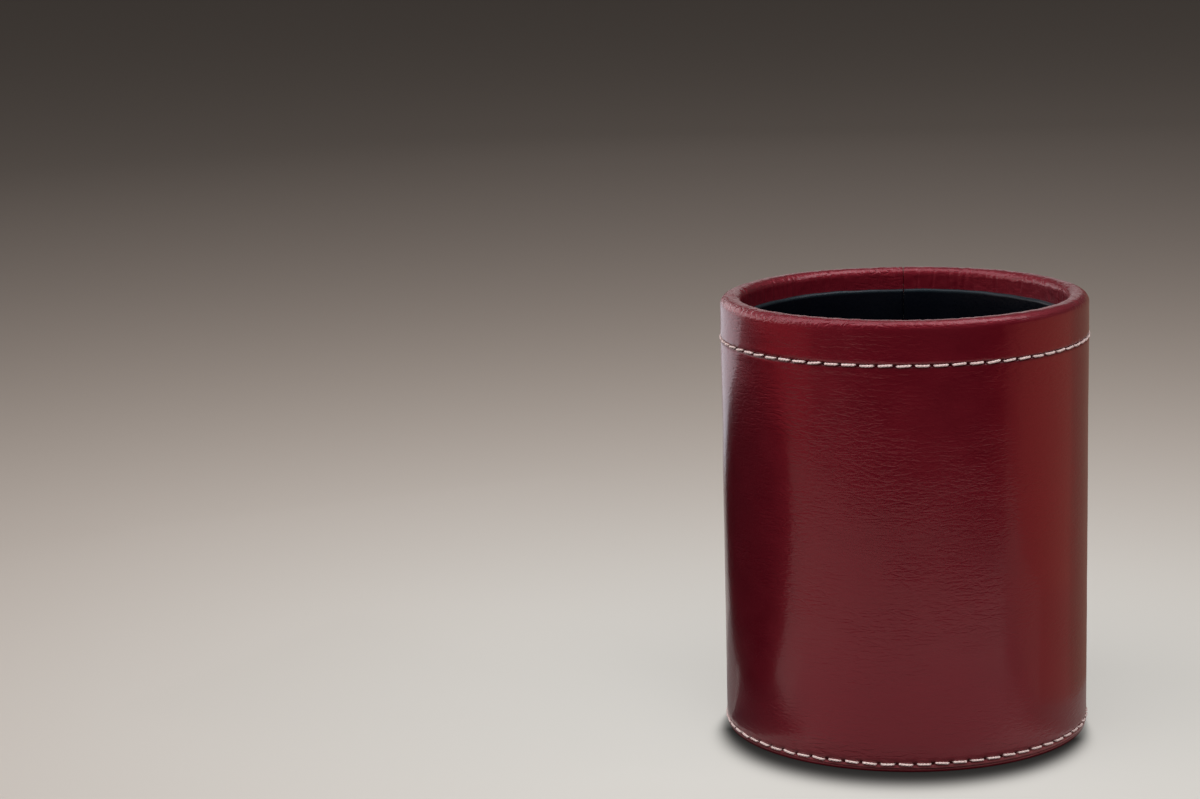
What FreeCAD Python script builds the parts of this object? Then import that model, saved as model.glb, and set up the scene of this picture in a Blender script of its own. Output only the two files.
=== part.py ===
"""Round leather-covered pen cup, built up as it is made at the bench: a board tube and base board, a leather wrap
that turns in over the rim, two decorative lockstitched rows, a card-stiffened lining, a covered floor disc and a
base cover.

Millimetres. +Z is up, the origin is the centre of the face that stands on the desk, and the seams are on the +Y side.
"""
import FreeCAD
import Part
import math
import os

Vec = FreeCAD.Vector
UP = Vec(0, 0, 1)
ORIGIN = Vec(0, 0, 0)

# ---------------------------------------------------------------- driving dimensions
CUP_DIAMETER = 83.0          # over the leather
CUP_HEIGHT = 100.0           # desk to the top of the rim

LEATHER = 1.1                # thickness of the wrap
CORE_WALL = 2.5              # wall of the board tube
CORE_EDGE_OUTER = 1.0        # rounding of the tube's mouth, outside
CORE_EDGE_INNER = 0.8        # rounding of the tube's mouth, inside
TURN_IN = 16.0               # how far the wrap reaches down inside the mouth, from the rim
WRAP_HEM_ROUND = 0.4         # rounding of the wrap's burnished lower edge
WRAP_SEAM_GAP = 0.2          # open width of the wrap's butt seam

BASE_COVER = 0.8             # thickness of the disc that stands on the desk
BASE_COVER_INSET = 0.2       # how far its edge stands in from the leather
BASE_COVER_ROUND = 0.35      # rounding of its two edges
BASE_BOARD = 3.0             # thickness of the board that closes the tube
BASE_BOARD_FIT = 0.05        # radial glue gap round the base board

LINING = 0.45                # thickness of the lining sheet
LINING_CARD = 0.5            # thickness of the card inside the lining
LINING_DROP = 4.7            # rim down to the lining's folded edge
LINING_FOLD = 9.0            # how far the folded edge reaches down behind the card
LINING_FIT = 0.05            # radial glue gap between the lining and the turned-in leather
LINING_SEAM_GAP = 0.3        # open width of the lining's butt seam

FLOOR_CARD = 1.5             # thickness of the card in the floor disc
FLOOR_TURN = 6.0             # how far the floor's cover turns under its card
FLOOR_FIT = 0.1              # radial gap between the floor disc and the lining

STITCH_COUNT = 65            # stitches in each row, about 4 mm from hole to hole
THREAD = 0.62                # diameter of the sewing thread on the outside
THREAD_LEG = 0.36            # diameter of the thread where it is pulled tight through the leather
THREAD_PROUD = 0.32          # how far a stitch stands out of the leather
STITCH_GAP = 0.8             # bare length between two neighbouring stitches
STITCH_TILT = 2.0            # degrees that each stitch leans from the row
STITCH_GROOVE_CLEARANCE = 0.08   # room round a stitch in the groove it presses into the leather
TOP_ROW_DROP = 9.5           # rim down to the upper row
BOTTOM_ROW_RISE = 2.25       # desk up to the lower row
BOBBIN_THREAD = 0.5          # diameter of the thread behind the leather
BOBBIN_CLEARANCE = 0.03      # room round that thread in its groove in the tube

# ---------------------------------------------------------------- sizes that follow
cup_r = CUP_DIAMETER / 2
core_outer_r = cup_r - LEATHER
core_inner_r = core_outer_r - CORE_WALL
mouth_r = core_inner_r - LEATHER
core_bottom = BASE_COVER
core_top = CUP_HEIGHT - LEATHER
core_round_outer = min(CORE_EDGE_OUTER, 0.45 * CORE_WALL)
core_round_inner = min(CORE_EDGE_INNER, 0.45 * CORE_WALL)
board_top = core_bottom + BASE_BOARD

lining_fold_r = mouth_r - LINING_FIT
lining_card_outer_r = lining_fold_r - LINING
lining_card_inner_r = lining_card_outer_r - LINING_CARD
lining_inner_r = lining_card_inner_r - LINING
lining_top = CUP_HEIGHT - LINING_DROP
floor_r = lining_inner_r - FLOOR_FIT

top_row_z = CUP_HEIGHT - TOP_ROW_DROP
row_heights = {"top": top_row_z, "bottom": BOTTOM_ROW_RISE}
crown_r = cup_r + THREAD_PROUD - THREAD / 2     # centreline of the stitches
groove_radius = THREAD / 2 + STITCH_GROOVE_CLEARANCE
bobbin_r = core_outer_r - BOBBIN_THREAD / 2     # the inner thread is let into the tube, flush with its outside
bobbin_groove_radius = BOBBIN_THREAD / 2 + BOBBIN_CLEARANCE
pitch_angle = 2 * math.pi / STITCH_COUNT


# ---------------------------------------------------------------- profile helpers
def at(r, z):
    """A point of a profile: distance from the cup's axis, and height."""
    return Vec(r, 0, z)


def quarter(start, corner, end):
    """Quarter circle from start to end, rounding the given corner."""
    centre = start + end - corner
    middle = centre + (corner - centre).normalize() * (start - centre).Length
    return Part.Arc(start, middle, end).toShape()


def notch(start, end, centre, radius, side):
    """Arc of a groove from start to end; side is -1 for a groove that opens outwards."""
    return Part.Arc(start, at(centre.x + side * radius, centre.z), end).toShape()


def outline(*steps):
    """A closed wire from points and ready-made edges, taken in turn and joined by straight edges."""
    edges = []
    first = last = None
    for step in steps:
        is_edge = isinstance(step, Part.Shape)
        start = step.firstVertex(True).Point if is_edge else step
        end = step.lastVertex(True).Point if is_edge else step
        if last is not None and (start - last).Length > 1e-7:
            edges.append(Part.makeLine(last, start))
        if is_edge:
            edges.append(step)
        first = first if first is not None else start
        last = end
    if (first - last).Length > 1e-7:
        edges.append(Part.makeLine(last, first))
    return Part.Wire(edges)


def turned(wire, seam_gap=0.0, seam_radius=1.0):
    """The solid of a profile turned about the axis, left open at the +Y side by seam_gap measured at seam_radius."""
    open_angle = math.degrees(seam_gap / seam_radius)
    face = Part.Face(wire)
    face.rotate(ORIGIN, UP, 90 + open_angle / 2)
    return face.revolve(ORIGIN, UP, 360 - open_angle)


def groove_half_height(surface_r, centre_r, radius):
    """Half the width that a round groove opens in a cylinder of surface_r."""
    return math.sqrt(radius ** 2 - (surface_r - centre_r) ** 2)


def outer_groove(surface_r, centre_r, z, radius):
    """Groove edge in a profile that runs upwards on its outside."""
    half = groove_half_height(surface_r, centre_r, radius)
    return notch(at(surface_r, z - half), at(surface_r, z + half), at(centre_r, z), radius, -1)


# ---------------------------------------------------------------- carcase
def core_tube():
    grooves = [outer_groove(core_outer_r, bobbin_r, z, bobbin_groove_radius)
               for z in (row_heights["bottom"], row_heights["top"])]
    wire = outline(
        at(core_inner_r, core_bottom),
        at(core_outer_r, core_bottom),
        *grooves,
        quarter(at(core_outer_r, core_top - core_round_outer), at(core_outer_r, core_top),
                at(core_outer_r - core_round_outer, core_top)),
        quarter(at(core_inner_r + core_round_inner, core_top), at(core_inner_r, core_top),
                at(core_inner_r, core_top - core_round_inner)))
    return turned(wire)


def base_board():
    return Part.makeCylinder(core_inner_r - BASE_BOARD_FIT, BASE_BOARD, Vec(0, 0, core_bottom))


def base_cover():
    edge_r = cup_r - BASE_COVER_INSET
    rounding = min(BASE_COVER_ROUND, 0.45 * BASE_COVER)
    wire = outline(
        at(0, 0),
        quarter(at(edge_r - rounding, 0), at(edge_r, 0), at(edge_r, rounding)),
        quarter(at(edge_r, BASE_COVER - rounding), at(edge_r, BASE_COVER), at(edge_r - rounding, BASE_COVER)),
        at(0, BASE_COVER))
    return turned(wire)


# ---------------------------------------------------------------- leather and stitching
def leather_wrap():
    rim_outer = core_round_outer + LEATHER
    rim_inner = core_round_inner + LEATHER
    hem = min(WRAP_HEM_ROUND, 0.45 * LEATHER)
    turn_end = CUP_HEIGHT - TURN_IN
    grooves = [outer_groove(cup_r, crown_r, z, groove_radius)
               for z in (row_heights["bottom"], row_heights["top"])]
    wire = outline(
        at(core_outer_r, core_bottom),
        quarter(at(cup_r - hem, core_bottom), at(cup_r, core_bottom), at(cup_r, core_bottom + hem)),
        *grooves,
        quarter(at(cup_r, CUP_HEIGHT - rim_outer), at(cup_r, CUP_HEIGHT), at(cup_r - rim_outer, CUP_HEIGHT)),
        quarter(at(mouth_r + rim_inner, CUP_HEIGHT), at(mouth_r, CUP_HEIGHT), at(mouth_r, CUP_HEIGHT - rim_inner)),
        at(mouth_r, turn_end),
        at(core_inner_r, turn_end),
        quarter(at(core_inner_r, core_top - core_round_inner), at(core_inner_r, core_top),
                at(core_inner_r + core_round_inner, core_top)),
        quarter(at(core_outer_r - core_round_outer, core_top), at(core_outer_r, core_top),
                at(core_outer_r, core_top - core_round_outer)))
    return turned(wire, WRAP_SEAM_GAP, cup_r)


def around(angle, radius):
    """A point at a radius, and at an angle from the +Y side."""
    return Vec(-math.sin(angle), math.cos(angle), 0) * radius


def stitch():
    """One stitch at the +Y side: a crown along the surface, with a leg through the leather at each end."""
    half_crown = (crown_r * pitch_angle - STITCH_GAP - THREAD) / 2
    half_angle = half_crown / crown_r
    crown = Part.makeTorus(crown_r, THREAD / 2, ORIGIN, UP, -180, 180, math.degrees(2 * half_angle))
    crown.rotate(ORIGIN, UP, 90 - math.degrees(half_angle))
    foot_r = core_outer_r + THREAD_LEG / 2
    foot_angle = pitch_angle / 2 - 0.55 * THREAD_LEG / foot_r
    parts = []
    for side in (-1, 1):
        end = around(side * half_angle, crown_r)
        foot = around(side * foot_angle, foot_r)
        leg = foot - end
        parts.append(Part.makeSphere(THREAD / 2, end))
        parts.append(Part.makeCylinder(THREAD_LEG / 2, leg.Length, end, leg))
        parts.append(Part.makeSphere(THREAD_LEG / 2, foot))
    return crown.multiFuse(parts).removeSplitter()


def stitch_row(z, tilt):
    """The separate stitches of one row, with a needle hole and not a stitch at the seam."""
    one = stitch()
    one.rotate(around(0, crown_r), Vec(0, 1, 0), tilt)
    one.translate(UP * z)
    row = []
    for n in range(STITCH_COUNT):
        copy = one.copy()
        copy.rotate(ORIGIN, UP, math.degrees((n + 0.5) * pitch_angle))
        row.append(copy)
    return Part.makeCompound(row)


def bobbin_thread(z):
    return Part.makeTorus(bobbin_r, BOBBIN_THREAD / 2, UP * z)


# ---------------------------------------------------------------- lining and floor
def lining_card():
    top = lining_top - LINING
    wire = outline(
        at(lining_card_inner_r, board_top),
        at(lining_card_outer_r, board_top),
        at(lining_card_outer_r, top),
        at(lining_card_inner_r, top))
    return turned(wire, LINING_SEAM_GAP, lining_inner_r)


def lining_cover():
    card_top = lining_top - LINING
    fold_end = lining_top - LINING_FOLD
    wire = outline(
        at(lining_inner_r, board_top),
        at(lining_card_inner_r, board_top),
        at(lining_card_inner_r, card_top),
        at(lining_card_outer_r, card_top),
        at(lining_card_outer_r, fold_end),
        at(lining_fold_r, fold_end),
        quarter(at(lining_fold_r, card_top), at(lining_fold_r, lining_top), at(lining_card_outer_r, lining_top)),
        quarter(at(lining_card_inner_r, lining_top), at(lining_inner_r, lining_top), at(lining_inner_r, card_top)))
    return turned(wire, LINING_SEAM_GAP, lining_inner_r)


def floor_card():
    return Part.makeCylinder(floor_r - LINING, FLOOR_CARD, Vec(0, 0, board_top + LINING))


def floor_cover():
    card_r = floor_r - LINING
    card_bottom = board_top + LINING
    card_top = card_bottom + FLOOR_CARD
    turn_end_r = floor_r - FLOOR_TURN
    wire = outline(
        at(0, card_top),
        at(card_r, card_top),
        at(card_r, card_bottom),
        at(turn_end_r, card_bottom),
        at(turn_end_r, board_top),
        at(floor_r, board_top),
        quarter(at(floor_r, card_top), at(floor_r, card_top + LINING), at(card_r, card_top + LINING)),
        at(0, card_top + LINING))
    return turned(wire)


# ---------------------------------------------------------------- build
def sub_parts():
    return {
        "core_tube": core_tube(),
        "base_board": base_board(),
        "base_cover": base_cover(),
        "leather_wrap": leather_wrap(),
        "top_stitches": stitch_row(row_heights["top"], STITCH_TILT),
        "bottom_stitches": stitch_row(row_heights["bottom"], -STITCH_TILT),
        "top_bobbin_thread": bobbin_thread(row_heights["top"]),
        "bottom_bobbin_thread": bobbin_thread(row_heights["bottom"]),
        "lining_card": lining_card(),
        "lining_cover": lining_cover(),
        "floor_card": floor_card(),
        "floor_cover": floor_cover(),
    }


def main():
    os.makedirs("parts", exist_ok=True)
    for name, shape in sub_parts().items():
        shape.exportStep(os.path.join("parts", name + ".step"))
        print(f"{name}: {len(shape.Solids)} solids, {shape.Volume:.1f} mm3, valid {shape.isValid()}")


main()
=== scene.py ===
"""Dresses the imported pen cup: leather, pleats, twisted stitches, lining, base, lights and camera.

Blender's unit is the metre; mm() turns the millimetres that sizes are written in. +Z is up and the
seams are at +Y. Angles go round the axis from the seam, towards -X, as the stitches are numbered.
"""
import math

import bpy
import numpy as np
from mathutils import Matrix, Vector


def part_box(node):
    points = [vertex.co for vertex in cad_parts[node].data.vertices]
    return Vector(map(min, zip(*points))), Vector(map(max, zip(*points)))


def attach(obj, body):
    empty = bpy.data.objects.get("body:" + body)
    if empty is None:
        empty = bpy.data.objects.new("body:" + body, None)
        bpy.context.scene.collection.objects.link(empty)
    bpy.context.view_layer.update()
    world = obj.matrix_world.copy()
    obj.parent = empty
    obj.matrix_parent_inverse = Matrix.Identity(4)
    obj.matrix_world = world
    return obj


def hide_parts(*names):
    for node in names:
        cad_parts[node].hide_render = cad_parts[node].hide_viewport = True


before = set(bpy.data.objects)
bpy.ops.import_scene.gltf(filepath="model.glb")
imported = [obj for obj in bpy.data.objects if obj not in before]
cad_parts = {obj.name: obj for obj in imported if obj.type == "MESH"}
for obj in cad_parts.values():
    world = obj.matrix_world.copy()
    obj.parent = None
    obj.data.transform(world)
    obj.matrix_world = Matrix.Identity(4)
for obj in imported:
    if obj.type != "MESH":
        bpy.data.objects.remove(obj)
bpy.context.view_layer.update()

MM = 0.001
FULL_TURN = 2 * math.pi


def mm(value):
    return value * MM


def in_mm(value):
    return value / MM


# ------------------------ sizes, in mm
wrap_low, wrap_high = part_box("leather_wrap")
lining_low, lining_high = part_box("lining_cover")
floor_low, floor_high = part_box("floor_cover")
cover_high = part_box("base_cover")[1]

CUP_R = in_mm(wrap_high.x)
CUP_H = in_mm(wrap_high.z)
HEM_Z = in_mm(wrap_low.z)
LINING_R = in_mm(lining_high.x)  # outside of the folded edge
LINING_TOP = in_mm(lining_high.z)
LINING_FOOT = in_mm(lining_low.z)
FLOOR_R = in_mm(floor_high.x)
FLOOR_TOP = in_mm(floor_high.z)
FLOOR_FOOT = in_mm(floor_low.z)
COVER_R = in_mm(cover_high.x)
COVER_TOP = in_mm(cover_high.z)


def row_middle(node):
    low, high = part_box(node)
    return in_mm((low.z + high.z) / 2)


ROWS = {"top": row_middle("top_stitches"), "bottom": row_middle("bottom_stitches")}
ROW_SEEDS = {"top": 27, "bottom": 28}
ROW_GROOVE_SHADE = {"top": 0.85, "bottom": 0.40}  # how dark the painted shade in the row's groove is
ROW_WANDER = 0.06
ROW_WANDER_LENGTH = 60.0
BOTTOM_DROP = 0.42  # how far the lower row runs under its solids' row
BOTTOM_TILT = 0.33  # and how much higher or lower than that at either side

LEATHER = 1.1
CORE_WALL = 2.5
RIM_OUTER = 2.1  # rounding of the rim, outside
RIM_INNER = 1.9  # rounding of the rim, inside
TURN_IN = 16.0  # rim down to the end of the turned-in leather
HEM_ROUND = 0.22
MOUTH_R = CUP_R - 2 * LEATHER - CORE_WALL
SEAM_GAP = 0.1  # open width of the butt seam
LINING_WALL = 1.4  # lining, card and lining together
LINING_GAP = 0.15  # open width of the lining's seam
FLOOR_EDGE = 0.6  # rounding of the floor disc
COVER_EDGE = 0.24  # rounding of the base cover
DISC_MIDDLE_R = 4.0  # a disc's flat middle face
DISC_BORDER = 4.0  # what its other side keeps from its edge

STITCHES = 65
PITCH = FULL_TURN / STITCHES  # angle from needle hole to needle hole
THREAD = 0.56
THREAD_RISE = 0.02  # how far a stitch's centreline stands over the leather

SEED = 7


# ------------------------ small helpers
def smoothstep(x, low, high):
    t = np.clip((np.asarray(x, float) - low) / (high - low), 0.0, 1.0)
    return t * t * (3 - 2 * t)


def bell(x, width):
    return np.exp(-(np.asarray(x, float) / width) ** 2)


def spaced(start, end, step):
    """Evenly spaced values from start to end, without the end."""
    count = max(1, round(abs(end - start) / step))
    return list(np.linspace(start, end, count, endpoint=False))


def arc(centre_r, centre_z, radius, from_deg, to_deg, count):
    """Points (r, z) of a profile's arc, without its last one."""
    turns = np.radians(np.linspace(from_deg, to_deg, count, endpoint=False))
    return [(centre_r + radius * math.cos(t), centre_z + radius * math.sin(t)) for t in turns]


def waves(angle, along, length, count, seed, stretch=1.0):
    """A smooth random field, even round the cup. length is its usual wavelength in mm, and stretch
    lengthens it round the cup. Its values are mostly between -1 and 1."""
    rng = np.random.default_rng(seed)
    total = 0.0
    for _ in range(count):
        turn = rng.uniform(0, FULL_TURN)
        size = length * rng.uniform(0.7, 1.5)
        around = round(FULL_TURN * CUP_R / (size * stretch) * math.cos(turn))
        up = FULL_TURN / size * math.sin(turn)
        total = total + np.cos(around * angle + up * along + rng.uniform(0, FULL_TURN))
    return total / math.sqrt(count)


def row_height(row, angle):
    """Where a stitched row runs. It wanders a little, and the lower one was sewn closer to the hem
    on one side."""
    wander = ROW_WANDER * waves(angle, 0.0, ROW_WANDER_LENGTH, 6, ROW_SEEDS[row])
    if row == "bottom":
        wander = wander - BOTTOM_DROP - BOTTOM_TILT * np.sin(angle)
    return ROWS[row] + wander


def point(angle, radius, z):
    """Metres, from an angle in radians past the seam and millimetres."""
    return (-mm(radius) * np.sin(angle), mm(radius) * np.cos(angle), mm(z) * np.ones_like(angle))


# ------------------------ meshes
class Shape:
    """Gathers vertices, faces and a map in millimetres, then makes one Blender mesh."""

    def __init__(self):
        self.points = []
        self.places = []
        self.faces = []
        self.values = {}
        self.count = 0

    def add_grid(self, x, y, z, u, v, **values):
        """Adds a grid of vertices and returns their numbers, in the same shape."""
        shape = x.shape
        self.points.append(np.stack([x, y, z], -1).reshape(-1, 3))
        self.places.append(np.stack([u, v], -1).reshape(-1, 2))
        for name in sorted(set(values) | set(self.values)):
            rows = self.values.setdefault(name, [np.zeros(self.count)])
            rows.append(np.broadcast_to(values.get(name, 0.0), shape).reshape(-1))
        numbers = self.count + np.arange(x.size).reshape(shape)
        self.count += x.size
        return numbers

    def add_quads(self, numbers, close_columns=False, close_rows=False):
        """Quads between the neighbouring columns (first index) and rows of a grid."""
        if close_columns:
            numbers = np.concatenate([numbers, numbers[:1]], 0)
        if close_rows:
            numbers = np.concatenate([numbers, numbers[:, :1]], 1)
        corners = [numbers[:-1, :-1], numbers[1:, :-1], numbers[1:, 1:], numbers[:-1, 1:]]
        self.faces += np.stack(corners, -1).reshape(-1, 4).tolist()

    def add_face(self, numbers, flip=False):
        numbers = [int(n) for n in numbers]
        self.faces.append(numbers[::-1] if flip else numbers)

    def make(self, name, material):
        mesh = bpy.data.meshes.new(name)
        mesh.from_pydata(np.concatenate(self.points).tolist(), [], self.faces)
        mesh.validate()
        corner_of = np.zeros(len(mesh.loops), int)
        mesh.loops.foreach_get("vertex_index", corner_of)
        places = np.concatenate(self.places)[corner_of].astype(np.float32)
        mesh.uv_layers.new(name="Surface").data.foreach_set("uv", places.ravel())
        for key, rows in self.values.items():
            attribute = mesh.attributes.new(key, "FLOAT", "POINT")
            attribute.data.foreach_set("value", np.concatenate(rows).astype(np.float32))
        mesh.shade_smooth()
        mesh.update()
        thing = bpy.data.objects.new(name, mesh)
        bpy.context.scene.collection.objects.link(thing)
        thing.data.materials.append(material)
        return thing


# ------------------------ material helpers
# The sockets that a ShaderNodeMix uses for colours.
MIX_SHARE, MIX_FIRST, MIX_SECOND, MIX_RESULT = 0, 6, 7, 2
CELL_SMOOTHNESS = 0.4


class Nodes:
    """A short way to write a node material."""

    def __init__(self, name):
        self.material = bpy.data.materials.new(name)
        self.material.use_nodes = True
        self.tree = self.material.node_tree
        self.shader = self.tree.nodes["Principled BSDF"]

    def node(self, kind, inputs=None, **settings):
        made = self.tree.nodes.new(kind)
        for key, value in settings.items():
            setattr(made, key, value)
        for key, value in (inputs or {}).items():
            self.put(made.inputs[key], value)
        return made

    def put(self, socket, value):
        """Links an output to a socket, or sets its value."""
        if isinstance(value, bpy.types.NodeSocket):
            self.tree.links.new(value, socket)
        else:
            socket.default_value = value

    def math(self, operation, *values, clamp=False):
        made = self.node("ShaderNodeMath", operation=operation, use_clamp=clamp)
        for socket, value in zip(made.inputs, values):
            self.put(socket, value)
        return made.outputs[0]

    def place(self):
        """Object coordinates, in metres."""
        return self.node("ShaderNodeTexCoord").outputs["Object"]

    def height(self):
        """Height over the table, in metres."""
        return self.node("ShaderNodeSeparateXYZ", {"Vector": self.place()}).outputs["Z"]

    def surface(self, across=1.0, up=1.0):
        """The piece's own map in mm, stretched: across round the cup, up along the profile."""
        place = self.node("ShaderNodeUVMap", uv_map="Surface").outputs[0]
        scale = (1 / across, 1 / up, 1.0)
        return self.node("ShaderNodeMapping", {"Vector": place, "Scale": scale}).outputs[0]

    def solid(self, size=1.0):
        """Object coordinates, with a size in millimetres as the unit."""
        scale = (1 / mm(size),) * 3
        return self.node("ShaderNodeMapping", {"Vector": self.place(), "Scale": scale}).outputs[0]

    def noise(self, vector, detail=3.0, roughness=0.55):
        inputs = {"Vector": vector, "Scale": 1.0, "Detail": detail, "Roughness": roughness}
        return self.node("ShaderNodeTexNoise", inputs).outputs[0]

    def vector(self, operation, first, second, output="Vector"):
        made = self.node("ShaderNodeVectorMath", {0: first, 1: second}, operation=operation)
        return made.outputs[output]

    def bent(self, vector, size, amount):
        """A vector with its places pushed about by noise: amount is in the vector's own unit."""
        inputs = {"Vector": vector, "Scale": 1 / size, "Detail": 2.0}
        noise = self.node("ShaderNodeTexNoise", inputs).outputs["Color"]
        push = self.vector("SUBTRACT", noise, (0.5, 0.5, 0.5))
        push = self.node("ShaderNodeVectorMath", {0: push, "Scale": amount}, operation="SCALE")
        return self.vector("ADD", vector, push.outputs[0])

    def cells(self, vector, feature="F1"):
        made = self.node("ShaderNodeTexVoronoi", {"Vector": vector, "Scale": 1.0}, feature=feature)
        if feature == "SMOOTH_F1":
            made.inputs["Smoothness"].default_value = CELL_SMOOTHNESS
        return made.outputs["Distance"]

    def ramp(self, value, low, high, to_low=0.0, to_high=1.0):
        inputs = {"Value": value, "From Min": low, "From Max": high,
                  "To Min": to_low, "To Max": to_high}
        return self.node("ShaderNodeMapRange", inputs).outputs[0]

    def attribute(self, name):
        return self.node("ShaderNodeAttribute", attribute_name=name).outputs["Fac"]

    def mix(self, share, first, second):
        made = self.node("ShaderNodeMix", data_type="RGBA")
        self.put(made.inputs[MIX_SHARE], share)
        self.put(made.inputs[MIX_FIRST], first)
        self.put(made.inputs[MIX_SECOND], second)
        return made.outputs[MIX_RESULT]

    def bump(self, height_mm, layer="Normal"):
        """Bumps the surface, or its coat, by a height in millimetres."""
        made = self.node("ShaderNodeBump", {"Height": height_mm, "Distance": MM, "Strength": 1.0})
        self.put(self.shader.inputs[layer], made.outputs[0])

    def set(self, **inputs):
        for key, value in inputs.items():
            self.put(self.shader.inputs[key.replace("_", " ")], value)
        return self.material


def rgb(red, green, blue):
    return (red, green, blue, 1.0)


# ------------------------ materials
LEATHER_DEEP = rgb(0.080, 0.0010, 0.0066)
LEATHER_LIT = rgb(0.102, 0.0015, 0.0084)
# paler wear and painted highlight on the rim
LEATHER_WEAR_AND_HIGHLIGHT = rgb(0.20, 0.040, 0.046)
# painted sheen: the paler band over the hem
LEATHER_HEM_SHEEN = rgb(0.22, 0.072, 0.078)
LEATHER_GLEAM = rgb(1.0, 0.12, 0.16)
# painted shade in the needle holes and along the stitched grooves
HOLE_SHADE = rgb(0.006, 0.001, 0.0015)

# Depths of the leather's relief, in mm
LONG_CREASE = 0.026
SHORT_CREASE = 0.016
PUCKER = 0.09  # the creases that gather on the rim's crest
SMOOTH_PUCKER = 0.01  # where the crest is smoothest
PORE = 0.012
GRAIN = 0.006
STRETCHED_GRAIN = 0.014

# Heights over the hem, in mm, between which its band of painted sheen fades in, and out
HEM_SHEEN_STARTS = (-0.45, -0.25)
HEM_SHEEN_ENDS = (1.2, 2.4)
# Heights under the rim, in mm, between which the crest's puckers fade in
CREST_STARTS = (2.2, 1.0)


def leather_relief(n, blotch, fine):
    """Bumps the surface by creases, puckers and pores, and the coat by the broader of them."""
    pores = n.cells(n.surface(0.42, 0.36), "SMOOTH_F1")
    patch = n.ramp(n.noise(n.surface(22.0, 14.0), detail=2.0), 0.38, 0.58, 0.25, 1.0)
    long_creases = n.cells(n.bent(n.surface(4.6, 1.25), 1.3, 1.1), "DISTANCE_TO_EDGE")
    short_creases = n.cells(n.bent(n.surface(2.2, 0.78), 1.1, 1.3), "DISTANCE_TO_EDGE")
    folds = n.math("ADD", n.math("MULTIPLY", n.ramp(long_creases, 0.0, 0.18), LONG_CREASE),
                   n.math("MULTIPLY", n.ramp(short_creases, 0.0, 0.22), SHORT_CREASE))
    folds = n.math("MULTIPLY", folds, patch)

    puckers = n.cells(n.bent(n.surface(2.3, 2.0), 1.5, 1.2), "DISTANCE_TO_EDGE")
    puckers = n.ramp(puckers, 0.0, 0.16)
    on_crest = n.ramp(n.height(), *(mm(CUP_H - below) for below in CREST_STARTS))
    puckers = n.math("MULTIPLY", n.math("MULTIPLY", puckers, on_crest),
                     n.ramp(blotch, 0.42, 0.56, SMOOTH_PUCKER, PUCKER))
    folds = n.math("ADD", folds, puckers)

    grain = n.math("ADD", n.math("MULTIPLY", pores, PORE), n.math("MULTIPLY", fine, GRAIN))
    n.bump(n.math("ADD", folds, grain))
    stretched = n.math("MULTIPLY", n.math("MULTIPLY", fine, STRETCHED_GRAIN), n.attribute("rim"))
    n.bump(n.math("ADD", n.math("MULTIPLY", folds, 0.6), stretched), "Coat Normal")


def leather_material(name):
    """Glossy mottled leather: painted sheen on the hem, wear and a painted highlight on the rim,
    painted shade in the holes and grooves.
    """
    n = Nodes(name)
    mottle = n.noise(n.surface(9.0, 6.0), detail=4.0)
    blotch = n.noise(n.surface(34.0, 22.0), detail=2.0)
    fine = n.noise(n.surface(0.16, 0.14), detail=2.0)
    rim, pit = n.attribute("rim"), n.attribute("pit")
    leather_relief(n, blotch, fine)

    share = n.math("ADD", n.math("MULTIPLY", mottle, 0.5), n.math("MULTIPLY", blotch, 0.5))
    colour = n.mix(n.ramp(share, 0.30, 0.70), LEATHER_DEEP, LEATHER_LIT)
    height = n.height()
    hem = n.math("MULTIPLY", n.ramp(height, *(mm(HEM_Z + above) for above in HEM_SHEEN_STARTS)),
                 n.ramp(height, *(mm(HEM_Z + above) for above in HEM_SHEEN_ENDS), 1.0, 0.0))
    # painted sheen: a paler band over the hem
    hem_sheen = n.math("MULTIPLY", hem, n.ramp(mottle, 0.3, 0.7, 0.6, 0.95))
    colour = n.mix(hem_sheen, colour, LEATHER_HEM_SHEEN)
    # painted shade in the needle holes and along the stitched grooves
    colour = n.mix(n.math("MULTIPLY", pit, 0.9), colour, HOLE_SHADE)
    # wear and a painted highlight: paler specks on the rim
    edge_highlight = n.math("MULTIPLY", rim, n.ramp(fine, 0.45, 0.75, 0.0, 0.18))
    colour = n.mix(edge_highlight, colour, LEATHER_WEAR_AND_HIGHLIGHT)

    rough = n.ramp(mottle, 0.3, 0.7, 0.36, 0.42)
    rough = n.math("ADD", rough, n.math("MULTIPLY", pit, 0.55))
    rough = n.math("ADD", rough, n.math("MULTIPLY", rim, 0.12))
    return n.set(Base_Color=colour, Roughness=rough, IOR=1.7, Specular_IOR_Level=1.0,
                 Specular_Tint=LEATHER_GLEAM, Coat_Weight=0.6, Coat_Roughness=0.14)


THREAD_SHADED = rgb(0.80, 0.60, 0.58)
THREAD_PALE = rgb(0.96, 0.79, 0.78)
THREAD_SLUB = rgb(0.80, 0.54, 0.52)
# dirt and painted shade where the thread goes into its holes
THREAD_DIRT_AND_SHADE = rgb(0.16, 0.05, 0.05)


def thread_material(name):
    """Pale thread with fibres along its plies, darker where it goes into its holes: dirt and
    painted shade.
    """
    n = Nodes(name)
    fibre = n.noise(n.surface(0.9, 0.05), detail=3.0)
    slub = n.noise(n.surface(3.0, 2.0), detail=1.0)
    n.bump(n.math("MULTIPLY", fibre, 0.02))
    pale = n.mix(n.ramp(fibre, 0.3, 0.7), THREAD_SHADED, THREAD_PALE)
    pale = n.mix(n.ramp(slub, 0.35, 0.65, 0.0, 0.30), pale, THREAD_SLUB)
    # dirt and painted shade at the stitch's ends
    buried = n.math("MULTIPLY", n.attribute("end"), 0.25)
    return n.set(Base_Color=n.mix(buried, pale, THREAD_DIRT_AND_SHADE), Roughness=0.62,
                 Sheen_Weight=0.25, Sheen_Roughness=0.4)


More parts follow.
